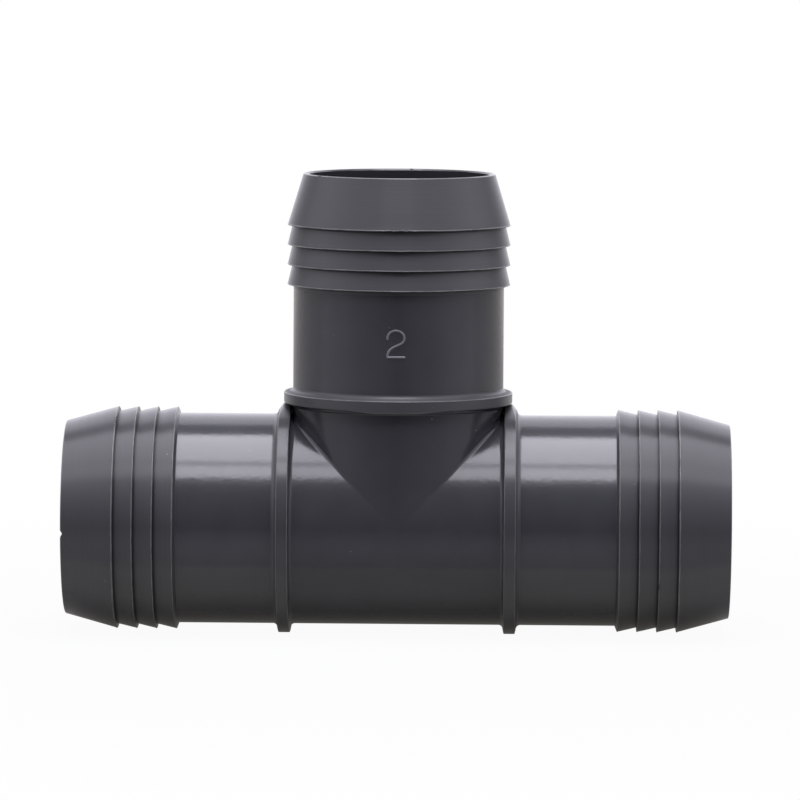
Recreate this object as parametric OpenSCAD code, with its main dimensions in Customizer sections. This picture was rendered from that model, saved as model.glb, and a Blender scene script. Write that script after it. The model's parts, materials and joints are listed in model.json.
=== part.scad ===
// Barbed insert tee for 2 in poly pipe: one moulding, shown as its moulded regions.
// The run lies along X and the branch stands along +Z. The origin is where their axes cross.
// Each end is drawn along its own +Z, pointing out of the hub, and then turned into place.

/* [Water way and wall] */
// Radius of the water way, the same in the run and the branch
bore_r = 22.2; // [21:0.1:23.5]
// Outer radius of the hub and of the plain clamp seats
body_r = 26.1; // [25.5:0.1:26.4]

/* [Reach] */
// From the crossing to the tip of each run end
run_reach = 82.4; // [76:0.1:110]
// From the crossing to the tip of the branch end
branch_reach = 86.1; // [80:0.1:115]

/* [Barbed end] */
// Number of barbs on an end
barb_count = 4; // [2:1:5]
// Distance from one crest to the next
barb_pitch = 4.93; // [4.5:0.01:5.2]
// Radius of the crests, which bite into the pipe
crest_r = 27.65; // [27.2:0.05:27.8]
// Width of the land that is left on a crest
crest_land = 0.3; // [0.2:0.05:0.6]
// Radius at the foot of each barb's back
valley_r = 26.65; // [26.4:0.05:26.8]
// Length of a barb's back along the axis
back_len = 0.3; // [0.1:0.05:0.8]
// Length of the last barb's back, which runs down to the clamp seat
last_back_len = 0.8; // [0.4:0.05:1.2]
// Length of the nose, from the tip to the first crest
nose_len = 12.6; // [10:0.1:14]
// Outer radius of the tip
tip_r = 24.1; // [24:0.05:25]
// Rounding of the tip's outer edge
tip_round = 0.5; // [0.2:0.05:0.6]
// Chamfer inside the mouth
mouth_chamfer = 0.5; // [0.2:0.05:0.6]

/* [Stop collar] */
// Outer radius of the collars
collar_r = 28.35; // [27.9:0.05:28.6]
// Width of a collar at its foot
collar_foot_w = 3.3; // [3:0.05:4]
// How much each flank leans in towards the outer face
collar_draft = 0.2; // [0.05:0.05:0.3]
// Rounding of the collar's two outer edges
collar_round = 0.45; // [0.2:0.05:0.6]
// Gap between the branch neck and the foot of each run collar
neck_gap = 0.15; // [0.12:0.01:0.4]
// Gap between the run collars' outer faces and the foot of the branch collar
rim_gap = 0.25; // [0.1:0.05:1]
// Fillet between a collar and the clamp seat
seat_fillet = 0.9; // [0.4:0.1:1.2]
// Fillet between a collar and the hub
hub_fillet = 0.5; // [0.3:0.05:0.6]

/* [Hub] */
// Fillet in the crotch where the branch leaves the run
crotch_fillet = 1.0; // [0.6:0.1:1.4]

/* [Hidden] */

$fn = 180;
gloss_grey = "#3b3b41";
satin_grey = "#46464b";

// The hub-side fillet is shared: the hub has its first part and the collar the rest
seam_angle = 60;
seam_setback = hub_fillet * (1 - sin(seam_angle));

// Distances from the crossing to the hub side of each collar's foot, and to the clamp seats
run_collar_foot = body_r + neck_gap;
branch_collar_foot = collar_r + rim_gap;
run_seat_foot = run_collar_foot + collar_foot_w + seat_fillet;
branch_seat_foot = branch_collar_foot + collar_foot_w + seat_fillet;

barbs_len = nose_len + (barb_count - 1) * barb_pitch + crest_land + last_back_len;
arc_step = 15;

// The crotch fillet's section is swept from one side of the tee to the other
fillet_stations = 32;
fillet_start = 14;
fillet_arc_steps = 4;
// Its edges lie just under the two walls, and its back is buried in them
fillet_sink = 0.03;
fillet_depth = 1.5;

// Points of an arc around [r, z], from angle a0 to a1, measured from the +r direction
function arc(r, z, radius, a0, a1) =
    let (steps = ceil(abs(a1 - a0) / arc_step))
    [for (i = [0:steps]) let (a = a0 + (a1 - a0) * i / steps) [r + radius * cos(a), z + radius * sin(a)]];

// Turns a solid drawn along +Z into the left, right or branch direction
module point_left() rotate([0, -90, 0]) children();
module point_right() rotate([0, 90, 0]) children();

// Nose, barbs and mouth of one end, revolved from a half section of [radius, height]
module barbed_end(reach) {
    first_crest = reach - nose_len;
    last = barb_count - 1;
    foot = reach - barbs_len;
    rotate_extrude() polygon(concat(
        [[bore_r, foot], [bore_r, reach - mouth_chamfer], [bore_r + mouth_chamfer, reach]],
        arc(tip_r - tip_round, reach - tip_round, tip_round, 90, 0),
        [for (i = [0:last]) let (z = first_crest - i * barb_pitch)
            each [[crest_r, z], [crest_r, z - crest_land],
                  i < last ? [valley_r, z - crest_land - back_len] : [body_r, foot]]]));
}

// Plain wall between the collar and the barbs, where the hose clamp closes
module clamp_seat(foot, top) {
    translate([0, 0, foot]) difference() {
        cylinder(r = body_r, h = top - foot);
        translate([0, 0, -1]) cylinder(r = bore_r, h = top - foot + 2);
    }
}

// Stop collar on its stretch of wall, with drafted flanks, rounded edges and fillets at its foot
module stop_collar(foot) {
    top = foot + collar_foot_w;
    low_edge = foot + collar_draft + collar_round;
    high_edge = top - collar_draft - collar_round;
    rotate_extrude() polygon(concat(
        [[bore_r, foot - seam_setback]],
        arc(body_r + hub_fillet, foot - hub_fillet, hub_fillet, 180 - seam_angle, 90),
        arc(collar_r - collar_round, low_edge, collar_round, -90, 0),
        arc(collar_r - collar_round, high_edge, collar_round, 0, 90),
        arc(body_r + seat_fillet, top + seat_fillet, seat_fillet, -90, -180),
        [[bore_r, top + seat_fillet]]));
}

// Half section of the wall that ends in the first part of a collar's hub-side fillet
function wall_end(foot) = arc(body_r + hub_fillet, foot - hub_fillet, hub_fillet, 180, 180 - seam_angle);

// The same half section below the crossing, in the order that continues the outline
function flipped(points) = [for (i = [len(points) - 1:-1:0]) [points[i].x, -points[i].y]];

// A ball rolled along the crotch touches both walls: this is its section at angle t round the mitre,
// on the +X side, from the run's wall across to the branch's wall and back through their joint
function fillet_section(t) =
    let (ball = body_r + crotch_fillet, root = body_r - fillet_depth, turn = acos(cos(t) * cos(t)))
    concat(
        [for (i = [0:fillet_arc_steps])
            let (u = i / fillet_arc_steps,
                 to_run = sin((1 - u) * turn) / sin(turn),
                 to_branch = sin(u * turn) / sin(turn),
                 d = crotch_fillet + (i == 0 || i == fillet_arc_steps ? fillet_sink : 0))
            [ball * sin(t) - d * to_branch * sin(t),
             ball * cos(t) - d * (to_run + to_branch) * cos(t),
             ball * sin(t) - d * to_run * sin(t)]],
        [[root * sin(t), root * cos(t), root * sin(t)]]);

module crotch_fillet_right() {
    ring = fillet_arc_steps + 2;
    points = [for (s = [0:fillet_stations])
        each fillet_section(fillet_start + (180 - 2 * fillet_start) * s / fillet_stations)];
    sides = [for (s = [0:fillet_stations - 1], i = [0:ring - 1])
        let (a = s * ring + i, b = s * ring + (i + 1) % ring)
        each [[a, b, a + ring], [b, b + ring, a + ring]]];
    first_cap = [for (i = [ring - 1:-1:0]) i];
    last_cap = [for (i = [0:ring - 1]) fillet_stations * ring + i];
    // The part past the collar's foot is left off
    intersection() {
        polyhedron(points, concat(sides, [first_cap, last_cap]));
        translate([0, -body_r, 0]) cube([run_collar_foot - seam_setback, 2 * body_r, 2 * body_r]);
    }
}

// The crossing: run wall and branch neck of one radius, the crotch fillets, and the two bores
module hub() {
    run_half = run_collar_foot - seam_setback;
    neck_top = branch_collar_foot - seam_setback;
    color(gloss_grey) difference() {
        union() {
            point_right() rotate_extrude() polygon(concat(
                [[0, -run_half]], flipped(wall_end(run_collar_foot)),
                wall_end(run_collar_foot), [[0, run_half]]));
            rotate_extrude() polygon(concat([[0, 0], [body_r, 0]], wall_end(branch_collar_foot), [[0, neck_top]]));
            crotch_fillet_right();
            mirror([1, 0, 0]) crotch_fillet_right();
        }
        point_right() cylinder(r = bore_r, h = 4 * body_r, center = true);
        cylinder(r = bore_r, h = 2 * body_r);
    }
}

module left_collar() color(satin_grey) point_left() stop_collar(run_collar_foot);
module right_collar() color(satin_grey) point_right() stop_collar(run_collar_foot);
module branch_collar() color(satin_grey) stop_collar(branch_collar_foot);

module left_seat() color(gloss_grey) point_left() clamp_seat(run_seat_foot, run_reach - barbs_len);
module right_seat() color(gloss_grey) point_right() clamp_seat(run_seat_foot, run_reach - barbs_len);
module branch_seat() color(gloss_grey) clamp_seat(branch_seat_foot, branch_reach - barbs_len);

module left_barbs() color(satin_grey) point_left() barbed_end(run_reach);
module right_barbs() color(satin_grey) point_right() barbed_end(run_reach);
module branch_barbs() color(satin_grey) barbed_end(branch_reach);

hub();
left_collar();
right_collar();
branch_collar();
left_seat();
right_seat();
branch_seat();
left_barbs();
right_barbs();
branch_barbs();
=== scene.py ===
import json
import math
import random

import bpy
import numpy as np
from mathutils import Matrix, Vector


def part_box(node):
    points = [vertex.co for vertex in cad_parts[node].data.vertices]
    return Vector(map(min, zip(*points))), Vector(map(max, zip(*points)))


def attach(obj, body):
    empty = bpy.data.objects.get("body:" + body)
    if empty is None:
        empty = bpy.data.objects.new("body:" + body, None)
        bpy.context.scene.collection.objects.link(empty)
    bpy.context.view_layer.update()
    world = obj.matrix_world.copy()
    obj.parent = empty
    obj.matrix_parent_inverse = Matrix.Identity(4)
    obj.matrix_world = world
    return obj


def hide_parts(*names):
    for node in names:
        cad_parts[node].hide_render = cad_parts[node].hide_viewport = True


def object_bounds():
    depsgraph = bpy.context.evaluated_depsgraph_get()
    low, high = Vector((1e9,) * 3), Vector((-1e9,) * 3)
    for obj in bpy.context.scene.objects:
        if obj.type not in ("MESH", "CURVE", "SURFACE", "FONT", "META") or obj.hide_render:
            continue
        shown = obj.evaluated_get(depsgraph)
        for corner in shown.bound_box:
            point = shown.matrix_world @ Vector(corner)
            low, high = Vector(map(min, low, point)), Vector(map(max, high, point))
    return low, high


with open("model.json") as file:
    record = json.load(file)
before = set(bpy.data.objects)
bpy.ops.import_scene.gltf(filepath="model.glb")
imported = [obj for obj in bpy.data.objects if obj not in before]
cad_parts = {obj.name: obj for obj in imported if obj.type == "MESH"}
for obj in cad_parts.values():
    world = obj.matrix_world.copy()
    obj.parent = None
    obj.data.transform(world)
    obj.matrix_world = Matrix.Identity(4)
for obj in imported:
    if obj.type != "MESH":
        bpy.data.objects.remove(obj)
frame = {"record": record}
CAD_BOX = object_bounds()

# Barbed insert tee for 2 in poly pipe: one rigid PVC moulding, dressed region by region.
# Lengths are in metres. The run lies along X, the branch stands along +Z, the numbered side faces -Y.

bl_info = {
    "name": "Barbed Insert Tee",
    "version": (1, 0, 0),
    "blender": (4, 5, 0),
    "location": "3D View > Sidebar > Tee",
    "description": "Builds a barbed insert tee for poly irrigation pipe and a plain studio round it",
    "category": "Add Mesh",
}

MM = 0.001
RECORD_MOUNTS = {mount["name"]: mount for mount in frame["record"]["mounts"]}


def stated(mount, size):
    """A radius or length that the record states for a mount, in metres."""
    return RECORD_MOUNTS[mount]["dims"][size] * MM


def widest(node):
    """The largest radius of a run-end node round the X axis."""
    low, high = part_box(node)
    return max(high.y, high.z, -low.y, -low.z)


# ---------------------------------------------------------------- sizes and finishes a user may change


def length(name, description, default):
    return bpy.props.FloatProperty(
        name=name, description=description, default=default, min=0, unit="LENGTH", precision=5)


def share(name, description, default):
    return bpy.props.FloatProperty(
        name=name, description=description, default=default, min=0, max=1, subtype="FACTOR")


def angle(name, description, default_degrees):
    return bpy.props.FloatProperty(
        name=name, description=description, default=math.radians(default_degrees), subtype="ANGLE")


def hex_colour(name, description, default):
    return bpy.props.StringProperty(
        name=name, description=description + ", as an sRGB hex value", default=default)


class TeeSizes(bpy.types.PropertyGroup):
    """Sizes of the moulding."""
    bore_radius: length("Bore radius", "Radius of the water way", stated("run_bore", "r_mm"))
    body_radius: length("Body radius", "Outer radius of the hub and clamp seats", widest("right_seat"))
    crest_radius: length("Crest radius", "Radius of the barb crests", stated("right_crest", "r_mm"))
    crest_land: length("Crest land", "Width of the land on a crest", stated("right_crest", "length_mm"))
    valley_radius: length("Valley radius", "Radius at the foot of a barb's back", 26.45 * MM)
    barb_pitch: length("Barb pitch", "Distance from one crest to the next", 4.93 * MM)
    back_length: length("Back length", "Length of a barb's back along the axis", 0.05 * MM)
    last_back_length: length("Last back length", "Length of the last barb's chamfer", 0.7 * MM)
    branch_last_back: length("Branch last back length", "The same on the branch", 0.4 * MM)
    branch_lift: length("Branch barb lift", "How much nearer the tip the branch's crests lie", 0.18 * MM)
    first_bead: length("First crest bead", "Radius of the rounded edge on the first crest", 0.2 * MM)
    other_bead: length("Other crest beads", "Radius of the rounded edge on the other crests", 0.15 * MM)
    tip_radius: length("Tip radius", "Outer radius of the run's tips", 24.1 * MM)
    branch_tip_radius: length("Branch tip radius", "Outer radius of the branch's tip", 23.85 * MM)
    tip_round: length("Tip rounding", "Rounding of the tip's outer edge", 0.3 * MM)
    mouth_chamfer: length("Mouth chamfer", "Width of the chamfer inside the mouth", 0.42 * MM)
    mouth_draft: length("Bore's draft", "How much wider the bore is at its mouth than at the seat", 0.3 * MM)
    mouth_depth: length("Mouth chamfer's depth", "Its depth along the axis", 0.37 * MM)
    collar_radius: length("Collar radius", "Outer radius of the stop collars", widest("right_collar"))
    collar_draft: length("Collar draft", "How much each flank leans in", 0.2 * MM)
    collar_width: length("Collar width", "Width of a collar at its foot", 3.3 * MM)
    collar_round: length("Collar rounding", "Rounding of the collar's outer edges", 0.27 * MM)
    branch_width: length("Branch collar width", "Width of the branch collar at its foot", 3.52 * MM)
    under_round: length("Branch collar's under edge", "Rounding of its lower edge at the front", 0.36 * MM)
    under_drop: length("Branch collar's drop", "How far its lower edge dips in front", 0.06 * MM)
    under_lift: length("Branch collar's lift", "How far that edge rises towards its sides", 0.54 * MM)
    lean_in: length("Run collars' lean", "How far a run collar's top leans in under the branch's", 0.9 * MM)
    reach_up: length("Run collars' reach", "How far a run collar's top rises to meet the branch's", 0.6 * MM)
    seat_fillet: length("Seat fillet", "Fillet between a collar and the clamp seat", 1.1 * MM)
    hub_fillet: length("Hub fillet", "Fillet between a run collar and the hub", 1.0 * MM)
    neck_fillet: length("Neck fillet", "Fillet between the branch collar and the hub", 0.45 * MM)
    crotch_fillet: length("Crotch fillet", "Fillet where the branch leaves the run", 1.1 * MM)
    mark_height: length("Mark height", "Height of the size number", 6.55 * MM)
    mark_width: length("Mark width", "Width of the size number", 4.15 * MM)
    mark_stroke: length("Mark stroke", "Width of the number's stroke at its foot", 0.62 * MM)
    mark_relief: length("Mark relief", "How far the number stands up from the wall", 0.25 * MM)


class TeeFinishes(bpy.types.PropertyGroup):
    """Colours and surface of the PVC."""
    gloss_colour: hex_colour("Polished PVC", "Colour of the hub and clamp seats", "#3a3a3e")
    satin_colour: hex_colour("Turned PVC", "Colour of the barbs and collars", "#3b3b3e")
    # The scuffed colour is also a painted highlight on the rubbed edges, and the colour of the dust specks
    scuff_and_highlight_colour: hex_colour("Scuffed PVC", "Colour of scuffed edges and dust specks", "#6e6c6a")
    gloss_roughness: share("Polished roughness", "Roughness from the polished tool face", 0.17)
    satin_roughness: share("Turned roughness", "Roughness from the turned tool face", 0.3)


class TeeStudio(bpy.types.PropertyGroup):
    """Camera, lamps and floor."""
    camera_distance: length("Camera distance", "From the middle of the tee to the lens", 1.5494)
    camera_azimuth: angle("Camera azimuth", "Turn of the camera to the right of the front", 1.049)
    camera_elevation: angle("Camera elevation", "Height of the camera above the horizon", 5.115)
    camera_roll: angle("Camera roll", "Tilt of the camera about its own axis", 0.348)
    lens_length: bpy.props.FloatProperty(
        name="Lens", description="Focal length on a sensor 36 mm wide", default=280.58, min=1, unit="CAMERA")
    key_strength: bpy.props.FloatProperty(
        name="Key strength", description="Brightness of the overhead soft box", default=3.9, min=0)
    sky_strength: bpy.props.FloatProperty(
        name="Sky strength", description="Brightness of the even light from all round", default=0.15, min=0)
    floor_colour: hex_colour("Floor", "Colour of the floor", "#a8a8a8")


# ---------------------------------------------------------------- the three ends


class End:
    """One end of the tee: where it points, and where its regions start and stop along its axis."""

    def __init__(self, name, out, up, axis, sign):
        self.name = name
        self.axis = axis
        self.out = np.array(out, float)
        self.up = np.array(up, float)
        self.front = np.array((0.0, -1.0, 0.0))
        boxes = {part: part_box(f"{name}_{part}") for part in ("collar", "seat", "barbs")}
        reach = {part: sorted((sign * low[axis], sign * high[axis])) for part, (low, high) in boxes.items()}
        self.collar_start, self.collar_stop = reach["collar"]
        self.seat_start, self.seat_stop = reach["seat"]
        self.barbs_start, self.tip = reach["barbs"]
        self.first_crest = sign * RECORD_MOUNTS[f"{name}_crest"]["pos_m"][axis]

    def place(self, radius, height, angles):
        """Points at these radii and heights (m of them), turned to these angles (n of them)."""
        spokes = np.cos(angles)[:, None] * self.front + np.sin(angles)[:, None] * self.up
        return spokes[:, None, :] * radius[..., None] + self.out * height[..., None]


ENDS = (
    End("left", (-1, 0, 0), (0, 0, 1), 0, -1),
    End("right", (1, 0, 0), (0, 0, 1), 0, 1),
    End("branch", (0, 0, 1), (1, 0, 0), 2, 1),
)


# ---------------------------------------------------------------- mesh making


class HalfSection:
    """A half section drawn with a pen, as [radius, height], with the material on the pen's left.

    Each stroke is smooth, and the corner between two strokes is sharp unless they run on tangentially.
    """

    def __init__(self, radius, height):
        self.now = (radius, height, 0.0)
        self.strokes = []

    def line(self, radius, height, sway=0.0, crest=0):
        """Straight stroke. Sway is the share of the crest's wander that its end takes.

        Its start keeps the sway of the stroke before, but wanders with this stroke's crest. Where the crest
        changes at a swaying corner, as at the tip and the mouth, the two strokes part by a hair.
        """
        r, h, start_sway = self.now
        run = math.hypot(radius - r, height - h)
        normal = ((height - h) / run, -(radius - r) / run)
        self.strokes.append((np.array([(r, h, *normal, start_sway), (radius, height, *normal, sway)]), crest))
        self.now = (radius, height, sway)

    def arc(self, radius, height, bend, start, stop, step=7.5, sway=0.0, crest=0):
        """Round stroke of radius bend about a centre, from one angle to another, in degrees."""
        steps = max(2, math.ceil(abs(stop - start) / step))
        turn = np.radians(np.linspace(start, stop, steps + 1))
        side = 1.0 if stop > start else -1.0
        rows = [(radius + bend * math.cos(a), height + bend * math.sin(a),
                 side * math.cos(a), side * math.sin(a), sway) for a in turn]
        self.strokes.append((np.array(rows), crest))
        self.now = (rows[-1][0], rows[-1][1], sway)


def add_object(name, data):
    """Puts an object with this data in the scene."""
    piece = bpy.data.objects.new(name, data)
    bpy.context.scene.collection.objects.link(piece)
    return piece


class Skin:
    """Collects patches of surface with their true normals, welds them, and makes one mesh."""

    WELD = 2e-8

    def __init__(self):
        self.points = []
        self.normals = []
        self.quads = []
        self.count = 0

    def patch(self, points, normals):
        """Adds a grid of points, n by m, with a normal at each."""
        rows, columns = points.shape[:2]
        index = self.count + np.arange(rows * columns).reshape(rows, columns)
        self.quads.append(np.stack(
            [index[:-1, :-1], index[1:, :-1], index[1:, 1:], index[:-1, 1:]], axis=-1).reshape(-1, 4))
        self.points.append(points.reshape(-1, 3))
        self.normals.append(normals.reshape(-1, 3))
        self.count += rows * columns

    def revolve(self, section, end, turns, wander=None):
        """Turns a half section round an end's axis."""
        angles = np.linspace(0, 2 * math.pi, turns + 1)
        for rows, crest in section.strokes:
            radius, height, normal_r, normal_h, sway = rows.T
            grow = np.zeros((len(angles), 2)) if wander is None else wander(end, crest, angles)
            points = end.place(radius + grow[:, :1] * sway, height + grow[:, 1:] * sway, angles)
            flat = np.ones((len(angles), 1))
            self.patch(points, end.place(flat * normal_r, flat * normal_h, angles))

    def sweep(self, section_at, end, turns):
        """Turns a half section whose form depends on the angle round an end's axis."""
        angles = np.linspace(0, 2 * math.pi, turns + 1)
        sections = [section_at(angle).strokes for angle in angles]
        for strokes in zip(*sections):
            radius, height, normal_r, normal_h, _ = np.stack([rows for rows, _ in strokes]).transpose(2, 0, 1)
            self.patch(end.place(radius, height, angles), end.place(normal_r, normal_h, angles))

    def build(self, name, material):
        """Makes the object, with the normals kept at every corner."""
        points = np.concatenate(self.points)
        normals = np.concatenate(self.normals)
        quads = np.concatenate(self.quads)
        keys = np.round(points / self.WELD).astype(np.int64)
        _, first, welded = np.unique(keys, axis=0, return_index=True, return_inverse=True)
        welded = welded.reshape(-1)
        corners = points[quads]
        facing = np.cross(corners[:, 2] - corners[:, 0], corners[:, 3] - corners[:, 1])
        wrong = np.einsum("ij,ij->i", facing, normals[quads].sum(1)) < 0
        quads[wrong] = quads[wrong][:, ::-1]
        faces = []
        face_normals = []
        for quad, ids in zip(quads.tolist(), welded[quads].tolist()):
            kept = [i for i in range(4) if ids[i] != ids[i - 1]]
            if len(kept) < 3 or len({ids[i] for i in kept}) < len(kept):
                continue
            faces.append([ids[i] for i in kept])
            face_normals.extend(quad[i] for i in kept)
        mesh = bpy.data.meshes.new(name)
        mesh.from_pydata(points[first].tolist(), [], faces)
        mesh.polygons.foreach_set("use_smooth", [True] * len(faces))
        mesh.normals_split_custom_set(normals[face_normals].tolist())
        mesh.materials.append(material)
        return add_object(name, mesh)


def settle(piece, slot, *nodes):
    """The piece rides on the one body and stands for these CAD nodes. Its slot is not used."""
    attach(piece, "root")
    if nodes:
        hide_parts(*nodes)


# ---------------------------------------------------------------- materials


# Settings that many nodes share
SMOOTH = {"interpolation_type": "SMOOTHSTEP"}
PRODUCT = {"operation": "MULTIPLY"}
LARGER = {"operation": "MAXIMUM"}
SIZE_ONLY = {"operation": "ABSOLUTE"}
DISTANCE = {"operation": "LENGTH"}

PVC_IOR = 1.54
DUST_SPACING = 5 * MM
DUST_RADIUS = 0.22 * MM
BORE_ROUGHNESS = 0.1
FLANK_ROUGHNESS = 0.65


def linear(hex_value):
    """An sRGB hex value as linear red, green, blue and alpha."""
    channels = [int(hex_value[i:i + 2], 16) / 255 for i in (1, 3, 5)]
    return (*[c / 12.92 if c <= 0.04045 else ((c + 0.055) / 1.055) ** 2.4 for c in channels], 1.0)


def lighter(colour, factor):
    return (*[c * factor for c in colour[:3]], 1.0)


def add_node(tree, kind, settings=None, **links):
    """Adds a shader node, sets its fields, and fills or links its inputs by name or number."""
    node = tree.nodes.new("ShaderNode" + kind)
    for field, value in (settings or {}).items():
        setattr(node, field, value)
    for name, value in links.items():
        names = [i for i in node.inputs if i.name.replace(" ", "_") == name and i.enabled]
        slot = names[0] if names else node.inputs[int(name.lstrip("_"))]
        if isinstance(value, bpy.types.NodeSocket):
            tree.links.new(value, slot)
        else:
            slot.default_value = value
    return node


def empty_material(name):
    material = bpy.data.materials.new(name)
    material.use_nodes = True
    material.node_tree.nodes.clear()
    return material, material.node_tree


def waves(tree, place, lengths_mm, detail=2.0, between=None):
    """Noise whose waves are this long, in millimetres, along X, Y and Z.

    Gives 0 to 1, or its middle part, 0.3 to 0.7, stretched between two levels.
    """
    scale = tuple(1 / (size * MM) for size in lengths_mm)
    stretch = add_node(tree, "Mapping", Vector=place, Scale=scale)
    noise = add_node(tree, "TexNoise", Vector=stretch.outputs[0], Scale=1.0, Detail=detail).outputs["Fac"]
    if between is None:
        return noise
    low, high = between
    stretched = add_node(tree, "MapRange", Value=noise, From_Min=0.3, From_Max=0.7, To_Min=low, To_Max=high)
    return stretched.outputs[0]


def along(axis, fine, coarse):
    """Wave lengths that are fine along one axis and coarse across it."""
    return tuple(fine if i == axis else coarse for i in range(3))


def mask(tree, *bounds):
    """1 where every value is past its second bound, 0 where one is short of its first, smooth between."""
    whole = None
    for value, low, high in bounds:
        part = add_node(tree, "MapRange", SMOOTH, Value=value, From_Min=low, From_Max=high).outputs[0]
        whole = part if whole is None else add_node(tree, "Math", PRODUCT, _0=whole, _1=part).outputs[0]
    return whole


def coats(tree, colour, *layers):
    """Lays coats of colour over the first one, each as thick as its share says."""
    for thickness, coat in layers:
        colour = add_node(tree, "Mix", {"data_type": "RGBA"}, _0=thickness, _6=colour, _7=coat).outputs[2]
    return colour


def relief(tree, *layers):
    """Stacks bumps, each a height from 0 to 1 and its real depth in metres."""
    normal = None
    for height, depth in layers:
        below = {} if normal is None else {"Normal": normal}
        normal = add_node(tree, "Bump", Height=height, Distance=depth, Strength=1.0, **below).outputs[0]
    return normal


def dust(tree, place):
    """Specks of dust pressed into the skin, 0.44 mm across. Gives 1 in a speck.

    There is at most one in each 5 mm of space, and none in more than half of those.
    """
    cells = add_node(tree, "TexVoronoi", Vector=place, Scale=1 / DUST_SPACING).outputs
    reach = DUST_RADIUS / DUST_SPACING
    near = add_node(tree, "MapRange", Value=cells["Distance"], From_Min=reach, From_Max=0.6 * reach)
    lot = add_node(tree, "SeparateXYZ", Vector=cells["Color"]).outputs[0]
    return add_node(tree, "Math", PRODUCT, _0=near.outputs[0], _1=mask(tree, (lot, 0.6, 0.65))).outputs[0]


def polished_pvc(name, finishes, colour, shine, dull):
    """Rigid PVC moulded against a polished steel face.

    It mirrors the lamps as a clear band, whose edges waver a little where the polishing left ripples.
    """
    material, tree = empty_material(name)
    place = add_node(tree, "TexCoord").outputs["Object"]
    # Pigment is mixed unevenly, in clouds of about 9 mm
    clouds = waves(tree, place, (9, 9, 9), 3, (0, 1))
    pigment = coats(tree, lighter(colour, 0.94), (clouds, lighter(colour, 1.06)),
                    (dust(tree, place), linear(finishes.scuff_and_highlight_colour)))
    normal = relief(
        tree,
        # Ripples left by hand polishing, in waves of 1.3 mm, at most 21 microns high
        (waves(tree, place, (1.3, 1.3, 1.3), 1), 0.021 * MM),
        # Orange peel of 0.5 mm, at most 0.6 microns high
        (waves(tree, place, (0.5, 0.5, 0.5)), 0.0006 * MM))
    level = finishes.gloss_roughness
    rough = waves(tree, place, (3, 3, 3), 2.0, (level * 0.9 * dull, level * 1.1 * dull))
    shader = add_node(tree, "BsdfPrincipled", Base_Color=pigment, Roughness=rough,
                      IOR=PVC_IOR, Specular_IOR_Level=shine, Normal=normal)
    add_node(tree, "OutputMaterial", Surface=shader.outputs[0])
    return material


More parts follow.
